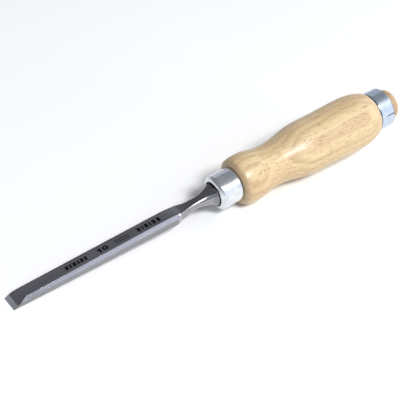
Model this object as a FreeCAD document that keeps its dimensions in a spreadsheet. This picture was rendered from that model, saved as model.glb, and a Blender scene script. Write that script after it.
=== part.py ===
"""Bevel-edge bench chisel: forged blade with tang, front ferrule, turned handle, striking hoop.

Each piece is drawn in the tool's own frame: X runs along the tool's axis from the cutting
edge to the striking end, Z is up and the flat back faces down. At the end the whole tool is
tilted into the pose in which it lies on a bench, on its cutting edge and its handle.
"""
import FreeCAD, Part
import Sketcher
import math
import os
import re

SIZES = (
    ("blade_length", 101.0, "cutting edge to the shoulder"),
    ("blade_width", 10.0, "nominal size of the chisel"),
    ("back_drop", 3.15, "flat back below the tool's axis"),
    ("tip_thickness", 3.57, "blade thickness at the cutting end"),
    ("heel_thickness", 5.97, "blade thickness at the shoulder"),
    ("tip_land", 7.4, "width of the top face at the cutting end"),
    ("heel_land", 7.2, "width of the top face at the shoulder"),
    ("tip_side", 1.92, "height of the upright sides at the cutting end"),
    ("heel_side", 3.34, "height of the upright sides at the shoulder"),
    ("honed_length", 2.6, "length of the honed strip behind the cutting edge"),
    ("honed_angle", 26.0, "degrees between the honed strip and the back"),
    ("bevel_angle", 24.0, "degrees between the ground bevel and the back"),
    ("corner_length", 2.6, "corner cut at the shoulder, along the blade"),
    ("corner_depth", 1.4, "corner cut at the shoulder, across the blade"),
    ("root_overlap", 3.0, "how far the neck's root starts inside the blade"),
    ("root_length", 9.0, "neck's root, from the shoulder to where it is round"),
    ("root_width", 7.9, "width of the neck's root inside the blade"),
    ("root_sole", 7.2, "width of the root's sole inside the blade"),
    ("neck_radius", 3.1, "radius of the round neck at its waist"),
    ("neck_length", 23.0, "shoulder of the blade to the bolster"),
    ("flare_length", 11.0, "length of the neck's flare into the bolster"),
    ("facet_step", 0.65, "drop from the blade's top face to the neck's facet"),
    ("facet_height", 1.95, "lowest place of the neck's top facet above the axis"),
    ("facet_waist", 4.5, "shoulder to the lowest place of the facet"),
    ("facet_rise", 2.6, "rise of the facet from its lowest place to the seat"),
    ("bolster_gap", 0.6, "gap round the bolster in the ferrule's mouth"),
    ("bolster_length", 1.6, "thickness of the bolster"),
    ("tang_length", 60.0, "tang behind the bolster"),
    ("tang_root", 6.0, "width of the square tang at the bolster"),
    ("tang_tip", 2.6, "width of the square tang at its end"),
    ("tang_clearance", 0.05, "gap round the tang in its socket"),
    ("socket_spare", 3.0, "socket beyond the end of the tang"),
    ("ferrule_radius", 9.77, "outside of the front ferrule"),
    ("ferrule_length", 13.3, "length of the front ferrule"),
    ("ferrule_wall", 1.0, "wall of the drawn ferrule"),
    ("ferrule_lip", 1.2, "thickness of the ferrule's turned-in lip"),
    ("ferrule_mouth", 7.1, "radius of the hole that the neck passes through"),
    ("ferrule_rim_round", 1.9, "rounding of the ferrule's front rim"),
    ("ferrule_inner_round", 0.8, "rounding inside the ferrule's front rim"),
    ("ring_clearance", 0.03, "gap between a driven ring and the wood inside it"),
    ("ferrule_gap", 0.3, "gap between the ferrule and the handle's shoulder"),
    ("spigot_chamfer", 1.0, "chamfer at the front of the spigot"),
    ("body_length", 98.0, "handle between its two rings"),
    ("shoulder_radius", 12.9, "handle's front shoulder, before rounding"),
    ("shoulder_round", 2.4, "rounding of the front shoulder"),
    ("bead_place", 8.2, "front shoulder to the crest of the bead"),
    ("bead_radius", 14.1, "crest of the bead"),
    ("waist_place", 24.3, "front shoulder to the waist"),
    ("waist_radius", 12.2, "handle at its waist"),
    ("swell_place", 51.5, "front shoulder to the front of the bulb"),
    ("swell_radius", 15.55, "front of the bulb"),
    ("belly_place", 14.5, "fullest place of the bulb to the rear edge"),
    ("belly_radius", 16.0, "fullest place of the bulb"),
    ("rear_radius", 12.7, "handle's rear edge, at the hoop"),
    ("rear_round", 1.3, "rounding of the rear edge"),
    ("hoop_radius", 11.85, "outside of the striking hoop"),
    ("hoop_length", 10.4, "length of the striking hoop"),
    ("hoop_wall", 2.62, "wall of the striking hoop"),
    ("hoop_front_round", 1.6, "rounding of the hoop's front edge"),
    ("hoop_rear_round", 0.6, "rounding of the hoop's rear edge"),
    ("stub_length", 7.3, "wood that stands out behind the hoop"),
    ("crown_rise", 1.3, "rise of the striking end over its rim"),
    ("crown_round", 3.2, "rounding of the striking end's rim"),
)

SEAT = "(blade_length + neck_length + bolster_length)"
FERRULE_FRONT = "({} - ferrule_lip)".format(SEAT)
SHOULDER = "({} + ferrule_length + ferrule_gap)".format(FERRULE_FRONT)
REAR = "({} + body_length)".format(SHOULDER)
SPIGOT_RADIUS = "(ferrule_radius - ferrule_wall - ring_clearance)"
BOLSTER_RADIUS = "(ferrule_mouth - bolster_gap)"
TENON_RADIUS = "(hoop_radius - hoop_wall - ring_clearance)"
BUTT = "({} + hoop_length + stub_length)".format(REAR)
CUT_MARGIN = 10.0       # how far a cutting outline reaches outside the metal
OUTLINE_STEP = 0.05     # spacing of the points that the resting pose is found from
ROUND_TOLERANCE = 1e-4
WALL_SHARE = 0.9        # the most of a wall that a rounding may take

doc = FreeCAD.newDocument("bench_chisel")
sheet = doc.addObject("Spreadsheet::Sheet", "Sizes")
for row, (alias, value, note) in enumerate(SIZES, start=1):
    sheet.set("A{}".format(row), alias)
    sheet.set("B{}".format(row), str(value))
    sheet.setAlias("B{}".format(row), alias)
    sheet.set("C{}".format(row), note)
doc.recompute()


def bound(expression):
    """Return the expression with each size's name pointing at its cell in the sheet."""
    return re.sub(r"[a-z]+(_[a-z]+)+", lambda name: "Sizes." + name.group(), expression)


def number(expression):
    """Return what an expression in the sizes comes to now."""
    return float(sheet.evalExpression(bound(expression)))


def new_sketch(body, name, role, offset=None):
    """Attach a sketch to one of the body's origin planes, moved along the plane's normal."""
    sketch = body.newObject("Sketcher::SketchObject", name)
    plane = [item for item in body.Origin.OriginFeatures if item.Role == role]
    sketch.AttachmentSupport = [(plane[0], "")]
    sketch.MapMode = "FlatFace"
    if offset:
        sketch.setExpression("AttachmentOffset.Base.z", bound(offset))
    return sketch


def pin(sketch, direction, edge, end, expression):
    """Tie one coordinate of a point of the sketch to an expression."""
    row = sketch.addConstraint(
        Sketcher.Constraint(direction, -1, 1, edge, end, number(expression)))
    sketch.setExpression("Constraints[{}]".format(row), bound(expression))


def arc_between(start, end, kind):
    """Return the arc from start to end, whose centre lies above, below or on the axis."""
    run = end[0] - start[0]
    rise = end[1] - start[1]
    if kind == "cap":
        centre = (start[0] + (run * run - start[1] ** 2 + end[1] ** 2) / (2 * run), 0.0)
    elif kind == "crest_first":
        centre = (start[0], start[1] + (run * run + rise * rise) / (2 * rise))
    else:
        centre = (end[0], end[1] - (run * run + rise * rise) / (2 * rise))
    radius = math.dist(centre, start)
    first = math.atan2(start[1] - centre[1], start[0] - centre[0])
    last = math.atan2(end[1] - centre[1], end[0] - centre[0])
    turn = (last - first + math.pi) % (2 * math.pi) - math.pi
    circle = Part.Circle(FreeCAD.Vector(*centre, 0), FreeCAD.Vector(0, 0, 1), radius)
    if turn > 0:
        return Part.ArcOfCircle(circle, first, last), 1, 2
    return Part.ArcOfCircle(circle, last, first), 2, 1


def draw(sketch, corners):
    """Draw a closed outline. Each corner is (x, y) or (x, y, kind of the edge leading to it).

    The kinds: crest_first and crest_last are arcs that run level at their first or last end,
    and cap is an arc about a point of the axis. Anything else is a straight line.
    """
    places = [(number(corner[0]), number(corner[1])) for corner in corners]
    ends = []
    for index, corner in enumerate(corners):
        start = places[index - 1]
        end = places[index]
        if len(corner) == 2:
            line = Part.LineSegment(FreeCAD.Vector(*start, 0), FreeCAD.Vector(*end, 0))
            ends.append((sketch.addGeometry(line), 1, 2))
            continue
        arc, first, last = arc_between(start, end, corner[2])
        edge = sketch.addGeometry(arc)
        ends.append((edge, first, last))
    for index, corner in enumerate(corners):
        edge, first, last = ends[index]
        before = ends[index - 1]
        sketch.addConstraint(Sketcher.Constraint("Coincident", before[0], before[2], edge, first))
        pin(sketch, "DistanceX", edge, last, corner[0])
        pin(sketch, "DistanceY", edge, last, corner[1])
        if len(corner) == 3 and corner[2] == "cap":
            sketch.addConstraint(Sketcher.Constraint("PointOnObject", edge, 3, -1))
        elif len(corner) == 3:
            crest = first if corner[2] == "crest_first" else last
            sketch.addConstraint(Sketcher.Constraint("Vertical", edge, 3, edge, crest))


def sloped(x_middle, first, last, share):
    """Return the corner where two level-ended arcs meet on the line between their crests."""
    x = "({0} + ({1} - {0}) * {2})".format(first[0], last[0], share)
    y = "({0} + ({1} - {0}) * {2})".format(first[1], last[1], share)
    return x, y, x_middle


def revolve(body, name, sketch, kind="Revolution"):
    """Turn a sketch once round the tool's axis."""
    feature = body.newObject("PartDesign::" + kind, name)
    feature.Profile = sketch
    feature.ReferenceAxis = (sketch, ["H_Axis"])
    feature.Angle = 360
    return feature


def loft(body, name, first, last, kind="AdditiveLoft"):
    """Join two sections with flat faces."""
    feature = body.newObject("PartDesign::" + kind, name)
    feature.Profile = first
    feature.Sections = [last]
    feature.Ruled = True
    return feature


def cut_through(body, name, sketch):
    """Cut a sketch through the whole body, both ways."""
    feature = body.newObject("PartDesign::Pocket", name)
    feature.Profile = sketch
    feature.SideType = "Symmetric"
    feature.Type = "ThroughAll"
    return feature


def circles(shape, x, radius):
    """Name the shape's circular edges about the axis at one place and of one radius."""
    names = []
    for index, edge in enumerate(shape.Edges, start=1):
        if edge.Degenerated or not isinstance(edge.Curve, Part.Circle):
            continue
        curve = edge.Curve
        if abs(curve.Center.x - number(x)) > ROUND_TOLERANCE:
            continue
        if abs(curve.Radius - number(radius)) < ROUND_TOLERANCE:
            names.append("Edge{}".format(index))
    if not names:
        raise RuntimeError("no edge at {} with radius {}".format(x, radius))
    return names


def limited(rounding, wall):
    """Return a rounding that stays within most of the wall that it is cut from."""
    return "min({}; {} * {})".format(rounding, wall, WALL_SHARE)


def dress(body, name, kind, x, radius, size):
    """Round or chamfer the circular edge at one place of the body."""
    doc.recompute()
    base = body.Tip
    feature = body.newObject("PartDesign::" + kind, name)
    feature.Base = (base, circles(base.Shape, x, radius))
    feature.setExpression("Radius" if kind == "Fillet" else "Size", bound(size))


def six_sided(widths, heights):
    """Return a section with a sole, a wider middle and a top, from three widths and heights."""
    right = [("{} / 2".format(width), height) for width, height in zip(widths, heights)]
    left = [("-{} / 2".format(width), height) for width, height in zip(widths, heights)]
    return right + left[::-1]


def square(width):
    """Return a square section centred on the axis."""
    return six_sided((width, width), ("-{} / 2".format(width), "{} / 2".format(width)))


def make_lamina(body):
    """The ground blade: flat back, upright sides, side bevels and top face."""
    for name, end, offset in (("Tip", "tip", None), ("Heel", "heel", "blade_length")):
        section = new_sketch(body, "Lamina" + name, "YZ_Plane", offset)
        widths = ("blade_width", "blade_width", end + "_land")
        heights = ("-back_drop", "(-back_drop + {}_side)".format(end),
                   "(-back_drop + {}_thickness)".format(end))
        draw(section, six_sided(widths, heights))
    loft(body, "Lamina", body.getObject("LaminaTip"), body.getObject("LaminaHeel"))


def make_neck(body):
    """The neck: a root that fades into a round waist, which flares out to the bolster."""
    inside = new_sketch(body, "RootInside", "YZ_Plane", "(blade_length - root_overlap)")
    middle = "(-back_drop * 0.2)"
    draw(inside, six_sided(("root_sole", "root_width", "(root_width - 0.2)"),
                           ("(-back_drop + 0.05)", middle, "(facet_height + 0.1)")))
    outside = new_sketch(body, "RootOutside", "YZ_Plane", "(blade_length + root_length)")
    draw(outside, six_sided(("(neck_radius * 1.2)", "(neck_radius * 1.9)", "(neck_radius * 1.4)"),
                            ("(-neck_radius * 0.78)", middle, "(neck_radius * 0.64)")))
    loft(body, "Root", inside, outside)

    profile = new_sketch(body, "NeckProfile", "XZ_Plane")
    start = "(blade_length - corner_length / 2)"
    bolster = "({} - bolster_length)".format(SEAT)
    draw(profile, [
        (start, "0"),
        (start, "neck_radius"),
        ("({} - flare_length)".format(bolster), "neck_radius"),
        (bolster, BOLSTER_RADIUS, "crest_first"),
        (SEAT, BOLSTER_RADIUS),
        (SEAT, "0")])
    revolve(body, "Neck", profile)


def make_tang(body):
    """The square tapered tang behind the bolster."""
    root = new_sketch(body, "TangRoot", "YZ_Plane", SEAT)
    draw(root, square("tang_root"))
    tip = new_sketch(body, "TangTip", "YZ_Plane", "({} + tang_length)".format(SEAT))
    draw(tip, square("tang_tip"))
    loft(body, "Tang", root, tip)


def cut_facet(body):
    """The flat, gently hollow top of the neck and bolster, a step below the top face."""
    step_start = "(blade_length - corner_length)"
    growth = "(heel_thickness - tip_thickness) * {} / blade_length".format(step_start)
    top_there = "(-back_drop + tip_thickness + {})".format(growth)
    heel_top = "(-back_drop + heel_thickness)"
    waist = "(blade_length + facet_waist)"
    clear = "({} + {})".format(BOLSTER_RADIUS, CUT_MARGIN)
    profile = new_sketch(body, "FacetProfile", "XZ_Plane")
    draw(profile, [
        (step_start, clear),
        (step_start, top_there),
        ("blade_length", "({} - facet_step)".format(heel_top)),
        (waist, "facet_height", "crest_last"),
        (SEAT, "(facet_height + facet_rise)", "crest_first"),
        (SEAT, clear)])
    cut_through(body, "Facet", profile)


def cut_bevels(body):
    """The ground bevel and the honed strip that make the cutting edge."""
    honed_top = "(-back_drop + honed_length * tan(honed_angle))"
    reach = "(tip_thickness / tan(bevel_angle))"
    profile = new_sketch(body, "BevelProfile", "XZ_Plane")
    above = "({} + tip_thickness)".format(honed_top)
    draw(profile, [
        ("0", "-back_drop"),
        ("honed_length", honed_top),
        ("(honed_length + {})".format(reach), above),
        ("-{}".format(CUT_MARGIN), above),
        ("-{}".format(CUT_MARGIN), "-back_drop")])
    cut_through(body, "Bevels", profile)


def cut_corners(body):
    """The slanting cuts that end the blade's two sides at the shoulder."""
    for name, side in (("Left", ""), ("Right", "-")):
        profile = new_sketch(body, "Corner" + name, "XY_Plane")
        edge = "{}(blade_width / 2)".format(side)
        outside = "{}(blade_width / 2 + {})".format(side, CUT_MARGIN)
        start = "(blade_length - corner_length)"
        draw(profile, [
            (start, edge),
            ("blade_length", "{}(blade_width / 2 - corner_depth)".format(side)),
            ("blade_length", outside),
            (start, outside)])
        cut_through(body, "Corner{}Cut".format(name), profile)


def make_blade():
    """The forging: blade, neck, bolster and tang in one piece of steel."""
    body = doc.addObject("PartDesign::Body", "blade")
    make_lamina(body)
    make_neck(body)
    make_tang(body)
    cut_facet(body)
    cut_bevels(body)
    cut_corners(body)
    return body


def make_ferrule():
    """The drawn steel cup round the handle's front spigot."""
    body = doc.addObject("PartDesign::Body", "front_ferrule")
    rear = "({} + ferrule_length)".format(FERRULE_FRONT)
    bore = "(ferrule_radius - ferrule_wall)"
    profile = new_sketch(body, "FerruleProfile", "XZ_Plane")
    draw(profile, [
        (FERRULE_FRONT, "ferrule_mouth"),
        (FERRULE_FRONT, "ferrule_radius"),
        (rear, "ferrule_radius"),
        (rear, bore),
        (SEAT, bore),
        (SEAT, "ferrule_mouth")])
    revolve(body, "Cup", profile)
    outer_round = limited("ferrule_rim_round", "(ferrule_radius - ferrule_mouth)")
    inner_round = limited("ferrule_inner_round", "({} - ferrule_mouth)".format(bore))
    dress(body, "FrontRim", "Fillet", FERRULE_FRONT, "ferrule_radius", outer_round)
    dress(body, "InsideRim", "Fillet", SEAT, bore, inner_round)
    return body


def make_handle():
    """The turned handle: spigot, bead, waist, bulb, tenon, striking end and tang socket."""
    body = doc.addObject("PartDesign::Body", "handle")
    crests = []
    for name in ("bead", "waist", "swell"):
        crests.append(("({} + {}_place)".format(SHOULDER, name), name + "_radius"))
    bead, waist, swell = crests
    belly = ("({} - belly_place)".format(REAR), "belly_radius")
    stub_rim = "({} - crown_rise)".format(BUTT)
    profile = new_sketch(body, "HandleProfile", "XZ_Plane")
    draw(profile, [
        (SEAT, "0"),
        (SEAT, SPIGOT_RADIUS),
        (SHOULDER, SPIGOT_RADIUS),
        (SHOULDER, "shoulder_radius"),
        bead + ("crest_last",),
        sloped("crest_first", bead, waist, "0.4"),
        waist + ("crest_last",),
        sloped("crest_first", waist, swell, "0.45"),
        swell + ("crest_last",),
        sloped("crest_first", swell, belly, "0.5"),
        belly + ("crest_last",),
        (REAR, "rear_radius", "crest_first"),
        (REAR, TENON_RADIUS),
        (stub_rim, TENON_RADIUS),
        (BUTT, "0", "cap")])
    revolve(body, "Turning", profile)

    mouth = new_sketch(body, "SocketMouth", "YZ_Plane", SEAT)
    draw(mouth, square("(tang_root + 2 * tang_clearance)"))
    end = new_sketch(body, "SocketEnd", "YZ_Plane",
                     "({} + tang_length + socket_spare)".format(SEAT))
    draw(end, square("(tang_tip + 2 * tang_clearance)"))
    loft(body, "Socket", mouth, end, "SubtractiveLoft")

    dress(body, "SpigotEdge", "Chamfer", SEAT, SPIGOT_RADIUS, "spigot_chamfer")
    dress(body, "FrontShoulder", "Fillet", SHOULDER, "shoulder_radius", "shoulder_round")
    dress(body, "RearEdge", "Fillet", REAR, "rear_radius", "rear_round")
    dress(body, "Crown", "Fillet", stub_rim, TENON_RADIUS, "crown_round")
    return body


def make_hoop():
    """The steel ring that keeps the striking end from splitting."""
    body = doc.addObject("PartDesign::Body", "striking_hoop")
    bore = "(hoop_radius - hoop_wall)"
    end = "({} + hoop_length)".format(REAR)
    profile = new_sketch(body, "HoopProfile", "XZ_Plane")
    draw(profile, [(REAR, bore), (REAR, "hoop_radius"), (end, "hoop_radius"), (end, bore)])
    revolve(body, "Ring", profile)
    dress(body, "FrontEdge", "Fillet", REAR, "hoop_radius", "hoop_front_round")
    dress(body, "RearRim", "Fillet", end, "hoop_radius", "hoop_rear_round")
    return body


def resting_place(pieces, turned_pieces):
    """Return the placement that lays the tool on a bench: edge and handle both touch it.

    The tilt is the steepest one from the cutting edge to any turned piece's outline. The
    origin comes to the middle of the tool's footprint, at the height of the bench.
    """
    drop = number("back_drop")
    steepest = 0.0
    for piece in turned_pieces:
        for edge in piece.Shape.Edges:
            if edge.Degenerated or edge.Length < OUTLINE_STEP:
                continue
            for point in edge.discretize(Distance=OUTLINE_STEP):
                radius = math.hypot(point.y, point.z)
                steepest = max(steepest, math.atan2(radius - drop, point.x))
    tilt = FreeCAD.Rotation(FreeCAD.Vector(0, 1, 0), -math.degrees(steepest))
    laid = Part.makeCompound([piece.Shape.copy() for piece in pieces])
    laid.Placement = FreeCAD.Placement(FreeCAD.Vector(0, 0, 0), tilt)
    box = laid.optimalBoundingBox(False)
    return FreeCAD.Placement(FreeCAD.Vector(-box.Center.x, -box.Center.y, -box.ZMin), tilt)


PIECES = [make_blade(), make_ferrule(), make_handle(), make_hoop()]
doc.recompute()
place = resting_place(PIECES, PIECES[1:])
for piece in PIECES:
    piece.Placement = place
doc.recompute()

for item in doc.Objects:
    if "Invalid" in item.State or "Error" in item.State:
        raise RuntimeError("{} failed: {}".format(item.Name, item.State))
for piece in PIECES:
    if piece.Shape.isNull() or not piece.Shape.isValid():
        raise RuntimeError("{} has no valid shape".format(piece.Label))

os.makedirs("parts", exist_ok=True)
for piece in PIECES:
    piece.Shape.exportStep(os.path.join("parts", piece.Label + ".step"))
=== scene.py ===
"""The bevel-edge bench chisel as it looks lying on a white studio table.

Every shape is written in millimetres in the tool's own frame: X runs along the tool's axis
from the cutting edge to the striking end, Z is up and the flat back of the blade faces down.
One matrix then lays the tool on the bench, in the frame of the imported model.
"""
import bmesh
import bpy
import math
from mathutils import Matrix, Vector


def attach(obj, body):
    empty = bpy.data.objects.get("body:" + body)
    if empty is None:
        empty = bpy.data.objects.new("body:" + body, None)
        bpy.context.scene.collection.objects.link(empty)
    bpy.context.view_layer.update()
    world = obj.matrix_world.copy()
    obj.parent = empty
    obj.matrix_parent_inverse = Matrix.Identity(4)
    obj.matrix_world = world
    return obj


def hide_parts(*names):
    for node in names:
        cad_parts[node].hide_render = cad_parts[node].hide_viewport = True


MM = 0.001
TURN = 2 * math.pi

# ---------------------------------------------------------------- sizes of the tool
BLADE_LENGTH = 101.0
HALF_WIDTH = 5.0
BACK = -3.15            # height of the flat back, from the tool's axis
TIP_THICKNESS = 3.57
HEEL_THICKNESS = 5.97
TIP_LAND = 3.7          # half the width of the flat top between the side bevels
HEEL_LAND = 3.6
TIP_SIDE = 1.92         # height of the upright side below the side bevel
HEEL_SIDE = 3.34
HONED_LENGTH = 2.6
HONED_ANGLE = math.radians(26.0)
BEVEL_ANGLE = math.radians(24.0)
CORNER_START = 98.4     # where the blade's rear corners begin to be cut off
CORNER_HALF_WIDTH = 3.65
STEP_START = 92.5       # where the top begins to fall towards the neck
FACET_LOW = 1.95        # lowest height of the neck's flat top
FACET_LOW_PLACE = 105.5
FACET_HIGH = 4.55       # its height at the seat
NECK_RADIUS = 3.1
FLARE_START = 112.0
BOLSTER = 124.0
BOLSTER_RADIUS = 6.5
SEAT = 125.6            # where the bolster sits on the end of the wood
TANG_END = 185.6
TANG_ROOT = 3.0         # half the tang's width at the seat
TANG_TIP = 1.3          # half its width at its end
SOCKET_GAP = 0.05
SOCKET_END = 188.6

FERRULE_FRONT = 124.4
FERRULE_REAR = 137.7
FERRULE_RADIUS = 9.77
FERRULE_BORE = 8.77
FERRULE_MOUTH = 7.1
SPIGOT_RADIUS = 8.74

SHOULDER = 138.0
SHOULDER_ROUND = 2.4
SHOULDER_RADIUS = 12.9
BEAD = (146.2, 14.1)    # place along the tool and radius, here and in the next three
WAIST = (162.3, 12.2)
SWELL = (189.5, 15.55)
BELLY = (221.5, 16.0)
REAR = 236.0
REAR_RADIUS = 12.7
REAR_ROUND = 1.3

HOOP_REAR = 246.4
HOOP_RADIUS = 11.85
HOOP_BORE = 9.23
TENON_RADIUS = 9.2
STUB_RIM = 252.4        # where the striking face would meet the tenon's side
BUTT = 253.7            # the middle of the striking face

TILT = math.radians(4.315008)
TOOL_ORIGIN = Vector((-126.656, 0.0, 3.14107)) * MM
AROUND = 192            # vertices round a turned piece

SPIGOT_CHAMFER = 1.0
BODY_STEPS = 130        # sections along the handle's body
CROWN_ROUND = 3.2       # rounding between the tenon and the striking face
CROWN_PLACE = 249.75    # where that rounding's centre lies along the tool
FACE_RADII = (6.0, 5.0, 4.0, 2.8, 1.6, 0.6)    # rings of the striking face

RIM_LENGTH = 1.9        # length of the ferrule's rounded front rim
RIM_BLUNTNESS = 1.4     # 2 makes the rim a plain ellipse, less makes it blunter
RIM_INNER_ROUND = 0.35
PUNCH_PLACE = 136.5
PUNCH_TURN = math.radians(60.7)
PUNCH_DEPTH = 0.18
PUNCH_SPREAD = 0.16

HOOP_FRONT_ROUND = 1.6
HOOP_REAR_ROUND = 0.6
GROOVE_TURN = math.radians(79)
GROOVE_WIDTH = 0.22
GROOVE_DEPTH = 0.30
REFLECTION_LINE_HEIGHT = 2.85      # height of the hoop's painted dark reflection line above the tool's axis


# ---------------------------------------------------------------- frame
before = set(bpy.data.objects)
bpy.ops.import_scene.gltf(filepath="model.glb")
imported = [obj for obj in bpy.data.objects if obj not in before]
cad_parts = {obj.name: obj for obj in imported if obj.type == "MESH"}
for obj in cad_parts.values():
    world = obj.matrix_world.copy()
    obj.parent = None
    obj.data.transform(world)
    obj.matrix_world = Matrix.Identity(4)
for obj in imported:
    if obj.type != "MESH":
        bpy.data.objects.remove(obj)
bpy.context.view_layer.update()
root = "root"
tool_matrix = Matrix.Translation(TOOL_ORIGIN) @ Matrix.Rotation(-TILT, 4, "Y")


def place_direction(direction):
    """Return a direction of the tool's frame as a direction of the bench's frame."""
    return (tool_matrix.to_3x3() @ Vector(direction)).normalized()


# ---------------------------------------------------------------- mesh helpers
FLAT_FACE_WEIGHT = 90   # how strongly large faces keep their own shading, up to 100


def skin(sections, ring):
    """Return a closed mesh through sections of equally many points.

    A ring joins its last section to its first; anything else gets a flat end at both ends.
    """
    mesh = bmesh.new()
    rows = []
    for section in sections:
        rows.append([mesh.verts.new(Vector(point) * MM) for point in section])
    count = len(rows[0])
    spans = len(rows) if ring else len(rows) - 1
    for index in range(spans):
        here = rows[index]
        there = rows[(index + 1) % len(rows)]
        for corner in range(count):
            after = (corner + 1) % count
            mesh.faces.new((here[corner], here[after], there[after], there[corner]))
    if not ring:
        mesh.faces.new(rows[0][::-1])
        mesh.faces.new(rows[-1])
    bmesh.ops.recalc_face_normals(mesh, faces=mesh.faces)
    return mesh


def finish_mesh(name, mesh):
    """Turn a bmesh into a scene object that lies in the tool's place."""
    mesh.transform(tool_matrix)
    data = bpy.data.meshes.new(name)
    mesh.to_mesh(data)
    mesh.free()
    piece = bpy.data.objects.new(name, data)
    bpy.context.scene.collection.objects.link(piece)
    return piece


def smooth(piece, angle):
    """Shade a piece smoothly, with sharp edges where faces meet at more degrees than the angle."""
    piece.data.shade_smooth()
    piece.data.set_sharp_from_angle(angle=math.radians(angle))
    weighted = piece.modifiers.new("even_shading", "WEIGHTED_NORMAL")
    weighted.keep_sharp = True
    weighted.weight = FLAT_FACE_WEIGHT


def circle_section(x, radius, dent=None):
    """Return one ring of a turned piece; dent(x, turn) says how much deeper it is there."""
    points = []
    for step in range(AROUND):
        turn = TURN * step / AROUND
        depth = dent(x, turn) if dent else 0.0
        reach = radius - depth
        points.append((x, -reach * math.sin(turn), reach * math.cos(turn)))
    return points


def square_section(x, half):
    """Return a square ring with as many points as the rings of a turned piece."""
    points = []
    for step in range(AROUND):
        turn = TURN * step / AROUND
        reach = half / max(abs(math.sin(turn)), abs(math.cos(turn)))
        points.append((x, -reach * math.sin(turn), reach * math.cos(turn)))
    return points


def spread(first, last, count):
    """Return evenly spaced numbers from first to last, both included."""
    return [first + (last - first) * step / count for step in range(count + 1)]


def quarter(centre, size, first, last, count):
    """Return (x, radius) points of an arc about a centre; 0 points along X, 90 outwards."""
    points = []
    for angle in spread(math.radians(first), math.radians(last), count):
        points.append((centre[0] + size * math.cos(angle), centre[1] + size * math.sin(angle)))
    return points


def ease(value, first, last):
    """Return 0 before first, 1 after last, and a soft step between them."""
    share = min(max((value - first) / (last - first), 0.0), 1.0)
    return share * share * (3 - 2 * share)


def level_arc(x, crest, other):
    """Return the height at x of the arc that is level at its crest and passes other."""
    run = other[0] - crest[0]
    rise = other[1] - crest[1]
    size = (run * run + rise * rise) / (2 * abs(rise))
    sag = size - math.sqrt(size * size - (x - crest[0]) ** 2)
    return crest[1] + math.copysign(sag, rise)


# ---------------------------------------------------------------- handle
def between(first, last, share):
    """Return the point where two arcs meet on the line between their crests."""
    return tuple(a + (b - a) * share for a, b in zip(first, last))


def body_radius(x):
    """Return the radius of the handle's turned outline between its two rings."""
    bead_waist = between(BEAD, WAIST, 0.4)
    waist_swell = between(WAIST, SWELL, 0.45)
    swell_belly = between(SWELL, BELLY, 0.5)
    if x <= BEAD[0]:
        return level_arc(x, BEAD, (SHOULDER, SHOULDER_RADIUS))
    if x <= bead_waist[0]:
        return level_arc(x, BEAD, bead_waist)
    if x <= WAIST[0]:
        return level_arc(x, WAIST, bead_waist)
    if x <= waist_swell[0]:
        return level_arc(x, WAIST, waist_swell)
    if x <= SWELL[0]:
        return level_arc(x, SWELL, waist_swell)
    if x <= swell_belly[0]:
        return level_arc(x, SWELL, swell_belly)
    if x <= BELLY[0]:
        return level_arc(x, BELLY, swell_belly)
    return level_arc(x, BELLY, (REAR, REAR_RADIUS))


def handle_outline():
    """Return the handle's outside from the spigot's front to the middle of the striking end."""
    outline = [(SEAT, SPIGOT_RADIUS - SPIGOT_CHAMFER), (SEAT + SPIGOT_CHAMFER, SPIGOT_RADIUS)]
    outline += [(x, SPIGOT_RADIUS) for x in spread(SEAT + 2.0, SHOULDER, 8)]
    face = body_radius(SHOULDER) - SHOULDER_ROUND
    outline += [(SHOULDER, face - 0.8), (SHOULDER, face - 0.1)]
    for angle in spread(0.0, math.pi / 2, 12):
        x = SHOULDER + SHOULDER_ROUND * (1 - math.cos(angle))
        outline.append((x, body_radius(x) - SHOULDER_ROUND * (1 - math.sin(angle))))
    first = SHOULDER + SHOULDER_ROUND
    last = REAR - REAR_ROUND
    outline += [(x, body_radius(x)) for x in spread(first + 0.5, last - 0.3, BODY_STEPS)]
    for angle in spread(0.0, math.pi / 2, 6):
        x = last + REAR_ROUND * math.sin(angle)
        outline.append((x, body_radius(x) - REAR_ROUND * (1 - math.cos(angle))))
    outline += [(REAR, TENON_RADIUS + 0.6), (REAR, TENON_RADIUS)]
    outline += [(x, TENON_RADIUS) for x in spread(REAR + 0.6, HOOP_REAR + 1.5, 12)]
    crown = (CROWN_PLACE, TENON_RADIUS - CROWN_ROUND)
    outline += quarter(crown, CROWN_ROUND, 90, 12, 12)
    for radius in FACE_RADII:
        outline.append((BUTT - (BUTT - STUB_RIM) * (radius / TENON_RADIUS) ** 2, radius))
    return outline


def make_handle():
    """The turned beech handle with the square socket for the tang."""
    sections = [square_section(SOCKET_END, TANG_TIP + SOCKET_GAP)]
    sections.append(square_section(SEAT, TANG_ROOT + SOCKET_GAP))
    sections += [circle_section(x, radius) for x, radius in handle_outline()]
    piece = finish_mesh("beech_handle", skin(sections, False))
    smooth(piece, 32)
    return piece


# ---------------------------------------------------------------- rings
def seam_dent(x, turn):
    """The butt joint of the striking hoop: a narrow groove just below its painted dark reflection
    line.
    """
    across = (turn - GROOVE_TURN) * HOOP_RADIUS / GROOVE_WIDTH
    along = ease(x, REAR + 3.6, REAR + 4.6)
    return GROOVE_DEPTH * along * math.exp(-across * across)


def punch_dent(x, turn):
    """The small punch mark beside the ferrule's rear edge."""
    across = (turn - PUNCH_TURN) * FERRULE_RADIUS
    away = ((x - PUNCH_PLACE) ** 2 + across ** 2) / PUNCH_SPREAD
    return PUNCH_DEPTH * math.exp(-away)


def ring_sections(outline, dented_above, dent):
    """Return a ring's sections; its outside, above a radius, takes the dent."""
    return [circle_section(x, radius, dent if radius > dented_above else None)
            for x, radius in outline]


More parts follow.
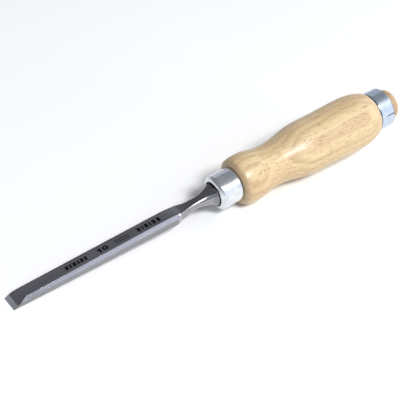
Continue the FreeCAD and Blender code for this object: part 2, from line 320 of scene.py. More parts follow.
def make_ferrule():
    """The drawn steel cup with its rounded, turned-in front rim."""
    mouth = (FERRULE_FRONT + RIM_INNER_ROUND, FERRULE_MOUTH + RIM_INNER_ROUND)
    outline = quarter(mouth, RIM_INNER_ROUND, 270, 182, 8)
    rim_height = FERRULE_RADIUS - FERRULE_MOUTH - RIM_INNER_ROUND
    for turn in spread(0.0, math.pi / 2, 17):
        back = 1.0 - abs(math.cos(turn)) ** RIM_BLUNTNESS
        down = 1.0 - math.sin(turn) ** RIM_BLUNTNESS
        outline.append((FERRULE_FRONT + RIM_LENGTH * back, FERRULE_RADIUS - rim_height * down))
    outline += [(x, FERRULE_RADIUS) for x in spread(FERRULE_FRONT + 2.3, FERRULE_REAR - 2.4, 10)]
    outline += [(x, FERRULE_RADIUS) for x in spread(FERRULE_REAR - 2.2, FERRULE_REAR - 0.2, 14)]
    outline += [(FERRULE_REAR - 0.05, FERRULE_RADIUS - 0.05), (FERRULE_REAR, FERRULE_RADIUS - 0.2)]
    outline += [(FERRULE_REAR, FERRULE_BORE + 0.15), (FERRULE_REAR - 0.15, FERRULE_BORE)]
    outline += [(SEAT + 0.8, FERRULE_BORE), (SEAT + 0.25, FERRULE_BORE - 0.25)]
    outline += [(SEAT, FERRULE_BORE - 0.8), (SEAT, FERRULE_MOUTH + 0.3)]
    outline += [(SEAT - 0.1, FERRULE_MOUTH + 0.1), (SEAT - 0.4, FERRULE_MOUTH)]
    sections = ring_sections(outline, FERRULE_RADIUS - 0.07, punch_dent)
    piece = finish_mesh("steel_ferrule", skin(sections, True))
    smooth(piece, 40)
    return piece


def make_hoop():
    """The plated steel ring round the striking end."""
    outline = [(REAR + 0.3, HOOP_BORE), (REAR, HOOP_BORE + 0.3)]
    front = (REAR + HOOP_FRONT_ROUND, HOOP_RADIUS - HOOP_FRONT_ROUND)
    outline += quarter(front, HOOP_FRONT_ROUND, 180, 90, 14)
    outline += [(x, HOOP_RADIUS) for x in spread(REAR + 2.0, HOOP_REAR - 0.8, 24)]
    rear = (HOOP_REAR - HOOP_REAR_ROUND, HOOP_RADIUS - HOOP_REAR_ROUND)
    outline += quarter(rear, HOOP_REAR_ROUND, 90, 0, 8)
    outline += [(HOOP_REAR, HOOP_BORE + 0.3), (HOOP_REAR - 0.3, HOOP_BORE)]
    sections = ring_sections(outline, HOOP_RADIUS - 0.85, seam_dent)
    piece = finish_mesh("steel_hoop", skin(sections, True))
    smooth(piece, 40)
    return piece


# ---------------------------------------------------------------- blade
ACROSS_TOP = 10         # faces across the top, and across the sole
UP_SIDE = 5             # faces along each side
CORNER_ROUND = 0.006    # rounding of the ground edges
NECK_EDGE_ROUND = 0.32  # rounding of the neck's two worn top edges
TOP_CORNERS = ({0, 1, 2}, {40, 41, 42})    # where every section keeps its two top corners
HONED = 1               # number of the honed steel among the blade's materials
WORN = 2                # number of the worn edges' steel
ROOT_END = 110.0        # where the neck's root has taken its last shape
SIDE_TURN = math.radians(-8)     # where a round section keeps the side's corner
SOLE_TURN = math.radians(-52)    # where it keeps the bottom corner
TIP_STATIONS = (0.01, 1.0, 2.6, 4.0, 6.0, 8.0, 9.0, 11.0)


def blade_thickness(x):
    """Return the blade's thickness at one place along it."""
    return TIP_THICKNESS + (HEEL_THICKNESS - TIP_THICKNESS) * x / BLADE_LENGTH


def lamina_corners(x):
    """Return the right-hand corners of the ground blade: top, side and bottom."""
    share = x / BLADE_LENGTH
    land = TIP_LAND + (HEEL_LAND - TIP_LAND) * share
    top = BACK + blade_thickness(x)
    side = BACK + TIP_SIDE + (HEEL_SIDE - TIP_SIDE) * share
    half = HALF_WIDTH
    if x > CORNER_START:
        cut = (x - CORNER_START) / (BLADE_LENGTH - CORNER_START)
        half = HALF_WIDTH + (CORNER_HALF_WIDTH - HALF_WIDTH) * cut
        slope = (top - side) / (HALF_WIDTH - land)
        side = side + (HALF_WIDTH - half) * slope
        side = min(side, facet_height(x) - 0.15)
        land = min(land, half - 0.05)
    if x > STEP_START:
        top = facet_height(x)
    return (land, top), (half, side), (half, BACK)


def facet_height(x):
    """Return the height of the neck's flat top."""
    if x < FACET_LOW_PLACE:
        top = BACK + blade_thickness(STEP_START)
        return top + (FACET_LOW - top) * ease(x, STEP_START, FACET_LOW_PLACE)
    return level_arc(x, (FACET_LOW_PLACE, FACET_LOW), (SEAT, FACET_HIGH))


def neck_radius(x):
    """Return the radius of the neck, its flare and the bolster."""
    if x < FLARE_START:
        return NECK_RADIUS
    if x < BOLSTER:
        return level_arc(x, (FLARE_START, NECK_RADIUS), (BOLSTER, BOLSTER_RADIUS))
    return BOLSTER_RADIUS


def root_corners(x):
    """Return the right-hand corners of the neck's six-sided root."""
    share = ease(x, BLADE_LENGTH, ROOT_END)
    land = 3.62 - 1.25 * share
    half = 3.75 - 0.55 * share
    side = 0.9 - 1.3 * share
    sole = 3.45 - 0.75 * share
    bottom = BACK + 0.05 + 0.35 * share
    return (land, facet_height(x)), (half, side), (sole, bottom)


def toward(start, end, distance):
    """Return the point at a distance from start towards end, at most a third of the way."""
    gap = (end - start).length
    return start + (end - start) * min(distance / gap, 0.33)


def corner_path(corners, top_round=CORNER_ROUND):
    """Return the outline through three right-hand corners and their mirrors, clockwise.

    Each corner is rounded a little, with three points; the top ones by their own amount.
    """
    right = [Vector(corner) for corner in corners]
    left = [Vector((-corner[0], corner[1])) for corner in corners]
    around = right + left[::-1]
    rounds = [top_round, CORNER_ROUND, CORNER_ROUND, CORNER_ROUND, CORNER_ROUND, top_round]
    counts = [UP_SIDE, UP_SIDE, ACROSS_TOP, UP_SIDE, UP_SIDE, ACROSS_TOP]
    starts = []
    ends = []
    for index, corner in enumerate(around):
        starts.append(toward(corner, around[index - 1], rounds[index]))
        ends.append(toward(corner, around[(index + 1) % 6], rounds[index]))
    points = []
    for index, corner in enumerate(around):
        last = ends[index]
        reach = starts[(index + 1) % 6]
        points += [starts[index], (starts[index] + last + 2 * corner) / 4, last]
        for step in range(1, counts[index]):
            points.append(last + (reach - last) * step / counts[index])
    return points


def round_path(radius, height, top_round=CORNER_ROUND):
    """Return a round section with a flat top, its points in corner_path's order."""
    height = min(height, radius * 0.98)
    facet = math.sqrt(radius * radius - height * height)
    top_turn = math.atan2(height, facet)
    stops = [top_turn, SIDE_TURN, SOLE_TURN]
    rounds = [top_round, CORNER_ROUND, CORNER_ROUND]
    right = []
    for index, turn in enumerate(stops):
        first = turn + rounds[index] / radius
        last = turn - rounds[index] / radius
        for angle in (first, turn, last):
            right.append(Vector((math.cos(angle), math.sin(angle))) * radius)
        if index < 2:
            reach = stops[index + 1] + rounds[index + 1] / radius
            for angle in spread(last, reach, UP_SIDE)[1:-1]:
                right.append(Vector((math.cos(angle), math.sin(angle))) * radius)
    right[0] = Vector((facet - top_round, height))
    worn = Vector((facet, height))
    right[1] = (right[0] + right[2] + 2 * worn) / 4
    left = [Vector((-point[0], point[1])) for point in right[::-1]]
    sole_end = math.atan2(right[-1][1], right[-1][0])
    sole = []
    for angle in spread(sole_end, -math.pi - sole_end, ACROSS_TOP)[1:-1]:
        sole.append(Vector((math.cos(angle), math.sin(angle))) * radius)
    top = [Vector((y, height)) for y in spread(left[-1][0], right[0][0], ACROSS_TOP)[1:-1]]
    return right + sole + left + top


def section_at(x, points):
    """Return the outline's points as places at x."""
    return [(x, point[0], point[1]) for point in points]


def blade_sections():
    """Return every section of the blade, from the cutting edge to the bolster's seat."""
    sections = []
    stations = list(TIP_STATIONS)
    stations += spread(14.0, CORNER_START, 28)
    stations += spread(CORNER_START + 0.1, BLADE_LENGTH, 8)
    for x in stations:
        sections.append(section_at(x, corner_path(lamina_corners(x))))
    for x in spread(BLADE_LENGTH + 0.12, BOLSTER, 70):
        wear = ease(x, BLADE_LENGTH - 0.5, 103.5)
        worn = CORNER_ROUND + (NECK_EDGE_ROUND - CORNER_ROUND) * wear
        edged = corner_path(root_corners(x), worn)
        turned = round_path(neck_radius(x), facet_height(x), worn)
        share = ease(x, BLADE_LENGTH + 1.0, 111.0)
        mixed = [a + (b - a) * share for a, b in zip(edged, turned)]
        sections.append(section_at(x, mixed))
    for x in (BOLSTER + 0.15, SEAT - 0.15, SEAT):
        radius = BOLSTER_RADIUS - (0.1 if x == SEAT else 0.0)
        sections.append(section_at(x, round_path(radius, facet_height(x), NECK_EDGE_ROUND)))
    return sections


def tang_path(half):
    """Return a square outline with its points in the same order as the blade's sections."""
    return corner_path([(half, half), (half, 0.0), (half, -half)])


def cut_flat(mesh, point, normal):
    """Cut away everything on the side of a plane that its normal points to."""
    everything = mesh.verts[:] + mesh.edges[:] + mesh.faces[:]
    result = bmesh.ops.bisect_plane(
        mesh, geom=everything, dist=1e-9, clear_outer=True,
        plane_co=Vector(point) * MM, plane_no=Vector(normal))
    rim = [item for item in result["geom_cut"] if isinstance(item, bmesh.types.BMEdge)]
    faces = bmesh.ops.contextual_create(mesh, geom=rim)["faces"]
    bmesh.ops.recalc_face_normals(mesh, faces=mesh.faces)
    return faces


def make_blade():
    """The forged and ground blade with its neck, bolster and tang."""
    sections = blade_sections()
    sections.append(section_at(SEAT, tang_path(TANG_ROOT)))
    sections.append(section_at(TANG_END - 0.6, tang_path(TANG_TIP + 0.02)))
    sections.append(section_at(TANG_END, tang_path(TANG_TIP - 0.3)))
    mesh = skin(sections, False)
    mesh.verts.index_update()
    for face in mesh.faces:
        places = {vertex.index % len(sections[0]) for vertex in face.verts}
        x = face.calc_center_median()[0] / MM
        at_corner = places <= TOP_CORNERS[0] or places <= TOP_CORNERS[1]
        if BLADE_LENGTH < x < BOLSTER and at_corner:
            face.material_index = WORN
    edge = (0.0, 0.0, BACK + 0.02)
    knee = (HONED_LENGTH, 0.0, BACK + 0.02 + HONED_LENGTH * math.tan(HONED_ANGLE))
    cut_flat(mesh, knee, (-math.sin(BEVEL_ANGLE), 0.0, math.cos(BEVEL_ANGLE)))
    honed = cut_flat(mesh, edge, (-math.sin(HONED_ANGLE), 0.0, math.cos(HONED_ANGLE)))
    for face in honed:
        face.material_index = HONED
    piece = finish_mesh("steel_blade", mesh)
    smooth(piece, 24)
    for face in piece.data.polygons:
        if len(face.vertices) > 12:
            face.use_smooth = False
    return piece


# ---------------------------------------------------------------- marks on the blade
MARK_TOP = 0.012        # how far a mark stands above the blade
MARK_DEPTH = 0.03       # how far it reaches into the blade
FIRST_BARS = (1.7, 1.15, 1.85, 1.1, 1.65, 1.4)
FIRST_BARS_PLACE = 32.3
FIRST_BARS_GAP = 0.75
SECOND_BARS = (1.9, 0.9, 1.9, 0.9, 1.9, 1.9)
SECOND_BARS_PLACE = 75.6
SECOND_BARS_GAP = 0.95
DASHES = ((62.0, 1.5), (63.9, 2.4), (66.7, 1.1), (68.2, 1.8))    # places and lengths
ONE_PLACE = 52.2
ZERO_PLACE = (56.0, -0.23)


def plate(mesh, outline, hole=None):
    """Add a thin closed plate that stands a hair above the blade's top face."""
    def level(x, high):
        return BACK + blade_thickness(x) + (MARK_TOP if high else -MARK_DEPTH)

    loops = [outline] if hole is None else [outline, hole]
    rows = []
    for loop in loops:
        for high in (True, False):
            rows.append([mesh.verts.new(Vector((x, y, level(x, high))) * MM) for x, y in loop])
    count = len(outline)
    pairs = [(rows[0], rows[1])]
    if hole is not None:
        pairs += [(rows[1], rows[3]), (rows[3], rows[2]), (rows[2], rows[0])]
    for here, there in pairs:
        for corner in range(count):
            after = (corner + 1) % count
            mesh.faces.new((here[corner], here[after], there[after], there[corner]))
    if hole is None:
        mesh.faces.new(rows[0])
        mesh.faces.new(rows[1][::-1])


def leaning_bar(x, width, low, high, lean):
    """Return the corners of an upright bar that leans forward."""
    return [(x, low), (x + width, low), (x + width + lean, high), (x + lean, high)]


def oval(x, y, half_width, half_height, count):
    """Return the points of an oval."""
    points = []
    for step in range(count):
        turn = TURN * step / count
        points.append((x + half_width * math.cos(turn), y + half_height * math.sin(turn)))
    return points


def make_marks():
    """Etched marks: plain bars in two groups, the size number 10 and two rows of dashes."""
    mesh = bmesh.new()
    x = FIRST_BARS_PLACE
    for width in FIRST_BARS:
        plate(mesh, leaning_bar(x, width, -1.6, 1.15, 0.35))
        x += width + FIRST_BARS_GAP
    plate(mesh, leaning_bar(ONE_PLACE, 1.35, -1.75, 1.3, 0.0))
    plate(mesh, [(51.0, 0.0), (52.15, 0.0), (52.15, 1.3)])
    plate(mesh, oval(*ZERO_PLACE, 1.75, 1.6, 28), oval(*ZERO_PLACE, 0.55, 0.62, 28))
    for x, length in DASHES:
        plate(mesh, leaning_bar(x, length, 0.12, 0.68, 0.1))
        plate(mesh, leaning_bar(x + 0.4, length, -1.3, -0.74, 0.1))
    x = SECOND_BARS_PLACE
    for width in SECOND_BARS:
        plate(mesh, leaning_bar(x, width, -1.75, 1.35, 0.0))
        x += width + SECOND_BARS_GAP
    bmesh.ops.recalc_face_normals(mesh, faces=mesh.faces)
    return finish_mesh("etched_marks", mesh)


# ---------------------------------------------------------------- shader helpers
def new_material(name):
    """Return an empty node material's tree and its surface shader."""
    material = bpy.data.materials.new(name)
    material.use_nodes = True
    tree = material.node_tree
    return material, tree, tree.nodes["Principled BSDF"]


def add(tree, kind, inputs=None, **settings):
    """Add a node. Inputs are given by name or number, as a value or as another node's output."""
    node = tree.nodes.new("ShaderNode" + kind)
    for name, value in settings.items():
        setattr(node, name, value)
    for name, value in (inputs or {}).items():
        socket = node.inputs[name]
        if isinstance(value, bpy.types.NodeSocket):
            tree.links.new(value, socket)
        else:
            socket.default_value = value
    return node


def millimetres(tree, stretch, place=(0, 0, 0)):
    """Return coordinates in the tool's frame: millimetres times a stretch along each axis."""
    here = add(tree, "TexCoord").outputs["Object"]
    lay = {"Vector": here, "Location": TOOL_ORIGIN, "Rotation": (0, -TILT, 0),
           "Scale": (MM, MM, MM)}
    tool = add(tree, "Mapping", lay, vector_type="TEXTURE").outputs[0]
    return add(tree, "Mapping", {"Vector": tool, "Scale": stretch, "Location": place}).outputs[0]


def noise(tree, vector, scale=1.0, detail=3.0, roughness=0.5):
    """Return a cloudy pattern between 0 and 1."""
    inputs = {"Vector": vector, "Scale": scale, "Detail": detail, "Roughness": roughness}
    return add(tree, "TexNoise", inputs).outputs[0]


def remap(tree, value, low, high, to_low=0.0, to_high=1.0):
    """Return a value stretched from one range to another, kept inside the new one."""
    inputs = {"Value": value, "From Min": low, "From Max": high,
              "To Min": to_low, "To Max": to_high}
    return add(tree, "MapRange", inputs, interpolation_type="SMOOTHSTEP").outputs[0]


def blend_colours(tree, share, first, second):
    """Return the mix of two colours."""
    node = add(tree, "Mix", data_type="RGBA")
    for socket, value in ((0, share), (6, first), (7, second)):
        if isinstance(value, bpy.types.NodeSocket):
            tree.links.new(value, node.inputs[socket])
        else:
            node.inputs[socket].default_value = value
    return node.outputs[2]


def arithmetic(tree, operation, first, second):
    """Return the result of one operation on two values; some use only the first."""
    return add(tree, "Math", {0: first, 1: second}, operation=operation).outputs[0]


def vector_arithmetic(tree, operation, first, second, output=0):
    """Return the result of one operation on two vectors; LENGTH uses only the first."""
    return add(tree, "VectorMath", {0: first, 1: second}, operation=operation).outputs[output]


def bump(tree, shader, height, strength, distance):
    """Give the surface small relief, in millimetres."""
    inputs = {"Height": height, "Strength": strength, "Distance": distance * MM}
    node = add(tree, "Bump", inputs)
    tree.links.new(node.outputs[0], shader.inputs["Normal"])


# ---------------------------------------------------------------- materials
# Colours are linear red, green and blue. Each noise is stretched by repeats per millimetre
# along, across and up the tool.
PALE_WOOD = (0.72, 0.575, 0.325, 1)
WARM_WOOD = (0.56, 0.37, 0.195, 1)
LATE_WOOD = (0.44, 0.28, 0.15, 1)
BROWN_WOOD = (0.27, 0.125, 0.045, 1)
END_GRAIN = (0.32, 0.16, 0.075, 1)
# painted shade for the front shoulder
SHOULDER_SHADE_WOOD = (0.41, 0.28, 0.165, 1)
# painted shadow for the spigot inside the ferrule
PAINTED_SHADOW_WOOD = (0.03, 0.022, 0.016, 1)
PITH = (0.0, 42.0, -36.0)            # a point on the middle line of the growth rings
RINGS_PER_MM = 0.36
DARK_FLECK = (226.3, -7.05, 13.2)    # the one larger fleck near the handle's rear

GROUND_STEEL = (0.55, 0.54, 0.565)
HONED_STEEL = (0.93, 0.95, 0.98)
WORN_STEEL = (0.95, 0.95, 0.95)
# painted shade for the blade's upright sides
UPRIGHT_SHADE_STEEL = (0.22, 0.22, 0.215, 1)
# painted shade for the neck
NECK_SHADE_STEEL = (0.24, 0.24, 0.245, 1)
NICK = (1.0, 1.0, 1.0, 1)

FERRULE_PLATING = (0.80, 0.84, 0.87)
HOOP_PLATING = (0.63, 0.71, 0.82)
# darkens the rings' edges and draws the hoop's painted dark reflection line
RING_DARKENING = (0.10, 0.10, 0.12, 1)

ETCHED_DARK = (0.002, 0.002, 0.003, 1)
ETCHED_PALE = (0.012, 0.012, 0.014, 1)
TABLE_DARK = (0.9, 0.9, 0.89, 1)
TABLE_PALE = (0.92, 0.92, 0.91, 1)


def beech_material():
    """Clear-lacquered beech: growth rings, dark flecks, fine pores, warm clouds, end grain,
    painted shade at the front shoulder and painted shadow on the spigot inside the ferrule.
    """
    material, tree, shader = new_material("lacquered_beech")
    here = millimetres(tree, (1, 1, 1))
    drift = noise(tree, millimetres(tree, (0.016, 0.05, 0.05)), detail=2.0)
    pith = vector_arithmetic(tree, "SUBTRACT", here, PITH)
    flat = vector_arithmetic(tree, "MULTIPLY", pith, (0.012, 1.0, 1.0))
    away = vector_arithmetic(tree, "LENGTH", flat, (0, 0, 0), "Value")
    waver = arithmetic(tree, "MULTIPLY", drift, 1.6)
    ring_place = arithmetic(tree, "ADD", arithmetic(tree, "ADD", away, waver), 0.5)
    ring_count = arithmetic(tree, "MULTIPLY", ring_place, RINGS_PER_MM)
    ring = arithmetic(tree, "FRACT", ring_count, 0.0)
    late = arithmetic(tree, "MULTIPLY", remap(tree, ring, 0.6, 0.06), remap(tree, ring, 0.0, 0.05))

    clouds = noise(tree, millimetres(tree, (0.03, 0.12, 0.12), (3, 1, 7)), detail=3.0)
    streaks = noise(tree, millimetres(tree, (0.035, 0.55, 0.55), (1, 5, 2)), detail=4.0)
    fleck_noise = noise(tree, millimetres(tree, (0.30, 2.3, 2.3), (7, 2, 3)), detail=1.5)
    fleck_cloud = noise(tree, millimetres(tree, (0.06, 0.2, 0.2), (2, 8, 5)), detail=1.0)
    fleck_cloud = arithmetic(tree, "MULTIPLY", fleck_cloud, 0.25)
    fleck_mix = arithmetic(tree, "ADD", fleck_noise, fleck_cloud)
    flecks = remap(tree, fleck_mix, 0.705, 0.82)
    pores = remap(tree, noise(tree, millimetres(tree, (1.1, 9.0, 9.0)), detail=2.0), 0.60, 0.72)

    beside_fleck = vector_arithmetic(tree, "SUBTRACT", here, DARK_FLECK)
    beside_fleck = vector_arithmetic(tree, "MULTIPLY", beside_fleck, (0.34, 1.5, 0.5))
    fleck_away = vector_arithmetic(tree, "LENGTH", beside_fleck, (0, 0, 0), "Value")
    dark_fleck = remap(tree, fleck_away, 1.1, 0.3)

    along = add(tree, "SeparateXYZ", {0: here}).outputs[0]
    ruddy = remap(tree, along, 185.0, 212.0, 1.0, 0.6)
    cloudy = arithmetic(tree, "MULTIPLY", remap(tree, clouds, 0.35, 0.72, 0.0, 0.55), ruddy)
    ground = blend_colours(tree, cloudy, PALE_WOOD, WARM_WOOD)
    streaky = arithmetic(tree, "MULTIPLY", remap(tree, streaks, 0.45, 0.66, 0.0, 0.6), ruddy)
    ground = blend_colours(tree, streaky, ground, WARM_WOOD)
    ground = blend_colours(tree, arithmetic(tree, "MULTIPLY", late, 0.42), ground, LATE_WOOD)
    mottle = noise(tree, millimetres(tree, (0.45, 1.6, 1.6), (9, 3, 1)), detail=2.0)
    ground = blend_colours(tree, remap(tree, mottle, 0.5, 0.72, 0.0, 0.35), ground, WARM_WOOD)
    for mark, share in ((pores, 0.25), (flecks, 0.62), (dark_fleck, 0.8)):
        ground = blend_colours(tree, arithmetic(tree, "MULTIPLY", mark, share), ground, BROWN_WOOD)

    end_grain = remap(tree, along, REAR + 4.0, REAR + 12.0, 0.1, 0.58)
    ground = blend_colours(tree, end_grain, ground, END_GRAIN)
    # painted shade: the wood is painted darker towards the front shoulder
    shoulder_shade = remap(tree, along, SHOULDER + 4.0, SHOULDER + 0.6, 0.0, 0.38)
    ground = blend_colours(tree, shoulder_shade, ground, SHOULDER_SHADE_WOOD)
    # painted shadow: the spigot inside the ferrule, seen through its mouth and the gap behind it,
    # is painted near black
    painted_gap_shadow = remap(tree, along, SHOULDER - 0.05, SHOULDER - 0.2)
    ground = blend_colours(tree, painted_gap_shadow, ground, PAINTED_SHADOW_WOOD)
    joint = remap(tree, along, HOOP_REAR + 0.6, HOOP_REAR + 0.2, 0.0, 0.6)
    past_hoop = remap(tree, along, HOOP_REAR - 1.0, HOOP_REAR - 0.9)
    joint = arithmetic(tree, "MULTIPLY", joint, past_hoop)
    ground = blend_colours(tree, joint, ground, BROWN_WOOD)
    tree.links.new(ground, shader.inputs["Base Color"])
    roughness = remap(tree, clouds, 0.3, 0.7, 0.42, 0.52)
    tree.links.new(roughness, shader.inputs["Roughness"])
    shader.inputs["Coat Weight"].default_value = 0.34
    shader.inputs["Coat Roughness"].default_value = 0.25
    relief = arithmetic(tree, "SUBTRACT", 1.0, arithmetic(tree, "ADD", flecks, pores))
    bump(tree, shader, relief, 0.35, 0.03)
    return material


def ground_steel_material(name, colour, roughness, mark_depth):
    """Ground tool steel: fine lines along the grinding, faint clouds, bright nicks, and painted
    shade on the upright sides and on the neck.
    """
    material, tree, shader = new_material(name)
    lines = noise(tree, millimetres(tree, (0.9, 26.0, 26.0)), detail=4.0, roughness=0.65)
    cross = noise(tree, millimetres(tree, (14.0, 0.8, 2.0), (4, 1, 2)), detail=3.0)
    clouds = noise(tree, millimetres(tree, (0.05, 0.25, 0.25), (1, 2, 3)), detail=3.0)
    darker = tuple(part * 0.82 for part in colour) + (1,)
    fine_part = arithmetic(tree, "MULTIPLY", lines, 0.6)
    tone = arithmetic(tree, "ADD", fine_part, arithmetic(tree, "MULTIPLY", clouds, 0.4))
    base = blend_colours(tree, remap(tree, tone, 0.4, 0.6), darker, colour + (1,))
    parts = add(tree, "SeparateXYZ", {0: millimetres(tree, (1, 1, 1))}).outputs
    along = parts[0]
    beside = arithmetic(tree, "ABSOLUTE", parts[1], 0.0)
    # painted shade: the blade's upright sides are painted darker
    upright = remap(tree, beside, HALF_WIDTH - 0.1, HALF_WIDTH - 0.01, 0.0, 0.66)
    base = blend_colours(tree, upright, base, UPRIGHT_SHADE_STEEL)
    # painted shade: the steel from the neck back is painted darker
    neck = remap(tree, along, BLADE_LENGTH - 0.5, BLADE_LENGTH + 1.5, 0.0, 0.5)
    base = blend_colours(tree, neck, base, NECK_SHADE_STEEL)
    nicks = noise(tree, millimetres(tree, (1.1, 1.6, 1.6), (3, 9, 4)), detail=1.0)
    near_tip = remap(tree, along, 42.0, 30.0)
    nicks = arithmetic(tree, "MULTIPLY", remap(tree, nicks, 0.70, 0.75), near_tip)
    nicks = arithmetic(tree, "MULTIPLY", nicks, remap(tree, beside, 3.75, 3.9))
    base = blend_colours(tree, nicks, base, NICK)
    tree.links.new(base, shader.inputs["Base Color"])
    shader.inputs["Metallic"].default_value = 1.0
    cross_part = arithmetic(tree, "MULTIPLY", cross, 0.5)
    wear = arithmetic(tree, "ADD", cross_part, arithmetic(tree, "MULTIPLY", clouds, 0.5))
    rough = remap(tree, wear, 0.3, 0.7, roughness * 0.8, roughness * 1.2)
    tree.links.new(rough, shader.inputs["Roughness"])
    bump(tree, shader, lines, 0.12, mark_depth)
    return material


def ring_edge(tree, along, place, inside):
    """Return the share of darkening: 0.7 at a ring's edge, falling to 0 a little inside it."""
    return remap(tree, along, place, place + inside, 0.7, 0.0)


def plated_material(name, colour, roughness, edges, reflection_line=False):
    """Bright plated steel: turning lines, scratches, haze, edges painted darker and, if asked, a
    painted dark reflection line.
    """
    material, tree, shader = new_material(name)
    turning = noise(tree, millimetres(tree, (9.0, 0.15, 0.15)), detail=4.0)
    haze = noise(tree, millimetres(tree, (0.3, 0.35, 0.35), (5, 1, 3)), detail=4.0)
    scratch = noise(tree, millimetres(tree, (0.8, 7.0, 7.0), (2, 4, 8)), detail=2.0)
    darker = tuple(part * 0.86 for part in colour) + (1,)
    base = blend_colours(tree, remap(tree, haze, 0.35, 0.7), colour + (1,), darker)
    parts = add(tree, "SeparateXYZ", {0: millimetres(tree, (1, 1, 1))}).outputs
    # each ring is painted darker towards its edges
    for place, inside in edges:
        base = blend_colours(tree, ring_edge(tree, parts[0], place, inside), base, RING_DARKENING)
    if reflection_line:
        # painted reflection: a dark line along the hoop's near side
        height = arithmetic(tree, "SUBTRACT", parts[2], REFLECTION_LINE_HEIGHT)
        line = remap(tree, arithmetic(tree, "ABSOLUTE", height, 0.0), 0.6, 0.25, 0.0, 0.95)
        line = arithmetic(tree, "MULTIPLY", line, remap(tree, parts[1], -10.8, -11.2))
        line = arithmetic(tree, "MULTIPLY", line, remap(tree, parts[0], REAR + 3.4, REAR + 5.4))
        base = blend_colours(tree, line, base, RING_DARKENING)
    tree.links.new(base, shader.inputs["Base Color"])
    shader.inputs["Metallic"].default_value = 0.86
    rough = remap(tree, haze, 0.3, 0.7, roughness * 0.75, roughness * 1.35)
    tree.links.new(rough, shader.inputs["Roughness"])
    relief = arithmetic(tree, "ADD", turning, remap(tree, scratch, 0.62, 0.7))
    bump(tree, shader, relief, 0.12, 0.01)
    return material


def etch_material():
    """Matt black etching with a faintly uneven tone."""
    material, tree, shader = new_material("black_etching")
    grain = noise(tree, millimetres(tree, (6, 6, 6)), detail=4.0)
    base = blend_colours(tree, remap(tree, grain, 0.35, 0.7), ETCHED_DARK, ETCHED_PALE)
    tree.links.new(base, shader.inputs["Base Color"])
    tree.links.new(remap(tree, grain, 0.3, 0.7, 0.45, 0.7), shader.inputs["Roughness"])
    shader.inputs["Specular IOR Level"].default_value = 0.04
    bump(tree, shader, grain, 0.3, 0.01)
    return material


def table_material():
    """A white table with a barely visible unevenness."""
    material, tree, shader = new_material("white_table")
    clouds = noise(tree, millimetres(tree, (0.01, 0.01, 0.01)), detail=3.0)
    base = blend_colours(tree, clouds, TABLE_DARK, TABLE_PALE)
    tree.links.new(base, shader.inputs["Base Color"])
    shader.inputs["Roughness"].default_value = 0.9
    shader.inputs["Specular IOR Level"].default_value = 0.0
    return material


# ---------------------------------------------------------------- stage
CAMERA_PLACE = Vector((-113.093, -351.074, 369.152))    # in the tool's frame
CAMERA_RIGHT = Vector((0.81018318, -0.58377369, -0.05302351))
CAMERA_UP = Vector((0.41886851, 0.51328549, 0.74905753))
CAMERA_LENS = 94.154
TABLE_HALF = 3.0        # metres
LIGHT_DISTANCE = 2.6    # metres

WALL_TOP = 0.50         # where the bright walls end and the darker ceiling begins
ROOM_UP = (-0.3, 0.17, 1.0)    # towards the middle of the ceiling, in the tool's frame
NEAR_WALL_LOW = (1.0, 1.06, 1.22, 1)
NEAR_WALL_HIGH = (1.5, 1.52, 1.56, 1)
LEFT_WALL = (0.46, 0.49, 0.60, 1)
FAR_WALL = (0.48, 0.50, 0.57, 1)
CEILING = (0.165, 0.17, 0.19, 1)


def make_camera():
    """The camera that looks over the blade's left side from the tip."""
    data = bpy.data.cameras.new("camera")
    data.sensor_width = 36.0
    data.lens = CAMERA_LENS
    data.clip_start = 0.01
    camera = bpy.data.objects.new("camera", data)
    bpy.context.scene.collection.objects.link(camera)
    back = CAMERA_RIGHT.cross(CAMERA_UP)
    turned = Matrix((CAMERA_RIGHT, CAMERA_UP, back)).transposed().to_4x4()
    spot = Matrix.Translation(CAMERA_PLACE * MM)
    camera.matrix_world = tool_matrix @ spot @ turned
    bpy.context.scene.camera = camera


def make_table():
    """The white table top, far larger than the picture."""
    mesh = bmesh.new()
    corners = [(-1, -1), (1, -1), (1, 1), (-1, 1)]
    mesh.faces.new([mesh.verts.new((x * TABLE_HALF, y * TABLE_HALF, 0)) for x, y in corners])
    data = bpy.data.meshes.new("table")
    mesh.to_mesh(data)
    mesh.free()
    table = bpy.data.objects.new("table", data)
    bpy.context.scene.collection.objects.link(table)
    data.materials.append(table_material())
    return table


def area_light(name, direction, size, power):
    """A square soft light that shines on the tool from a direction of the tool's frame."""
    data = bpy.data.lights.new(name, "AREA")
    data.size = size
    data.energy = power
    light = bpy.data.objects.new(name, data)
    bpy.context.scene.collection.objects.link(light)
    towards = place_direction(direction)
    light.location = towards * LIGHT_DISTANCE
    light.rotation_euler = towards.to_track_quat("Z", "Y").to_euler()


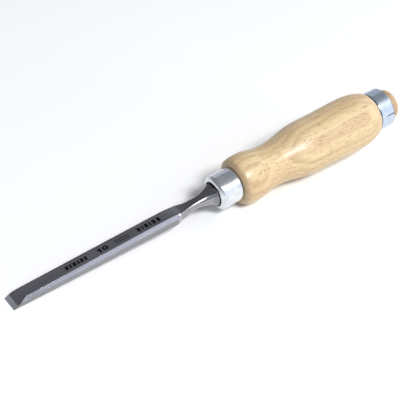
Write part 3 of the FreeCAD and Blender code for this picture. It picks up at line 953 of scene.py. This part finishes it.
def make_world():
    """A room with bright walls and a darker ceiling, as a light tent looks in polished steel."""
    world = bpy.data.worlds.new("studio")
    bpy.context.scene.world = world
    world.use_nodes = True
    tree = world.node_tree
    background = tree.nodes["Background"]
    look = add(tree, "TexCoord").outputs["Generated"]
    upward = place_direction(ROOM_UP)
    rise = vector_arithmetic(tree, "DOT_PRODUCT", look, upward, "Value")
    aside = add(tree, "SeparateXYZ", {0: look}).outputs
    near_wall = blend_colours(tree, remap(tree, rise, 0.05, 0.42), NEAR_WALL_LOW, NEAR_WALL_HIGH)
    near_wall = blend_colours(tree, remap(tree, aside[0], 0.36, 0.16), near_wall, LEFT_WALL)
    wall = blend_colours(tree, remap(tree, aside[1], -0.25, 0.25), near_wall, FAR_WALL)
    dark = remap(tree, rise, WALL_TOP - 0.06, WALL_TOP + 0.07)
    colour = blend_colours(tree, dark, wall, CEILING)
    tree.links.new(colour, background.inputs["Color"])


# ---------------------------------------------------------------- the scene
make_camera()
blade = make_blade()
ferrule = make_ferrule()
handle = make_handle()
hoop = make_hoop()
marks = make_marks()

for name, colour, roughness, line_depth in (("ground_steel", GROUND_STEEL, 0.2, 0.01),
                                            ("honed_steel", HONED_STEEL, 0.42, 0.02),
                                            ("worn_edge", WORN_STEEL, 0.3, 0.01)):
    blade.data.materials.append(ground_steel_material(name, colour, roughness, line_depth))
ferrule_edges = [(FERRULE_REAR, -0.25)]
ferrule.data.materials.append(
    plated_material("plated_ferrule", FERRULE_PLATING, 0.18, ferrule_edges))
handle.data.materials.append(beech_material())
hoop_edges = [(REAR + 0.9, 0.45), (HOOP_REAR - 0.4, -0.45)]
hoop.data.materials.append(
    plated_material("plated_hoop", HOOP_PLATING, 0.18, hoop_edges, reflection_line=True))
marks.data.materials.append(etch_material())

for piece, slot, node in ((blade, "blade_steel", "blade"),
                          (ferrule, "ferrule_steel", "front_ferrule"),
                          (handle, "beech", "handle"),
                          (hoop, "hoop_steel", "striking_hoop")):
    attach(piece, root)
    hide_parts(node)
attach(marks, root)

make_table()
make_world()
area_light("key", (0.15, -0.63, 0.76), 0.7, 62.0)
area_light("fill", (0.95, 0.05, 0.35), 1.4, 12.0)
bpy.context.scene.view_settings.view_transform = "Standard"
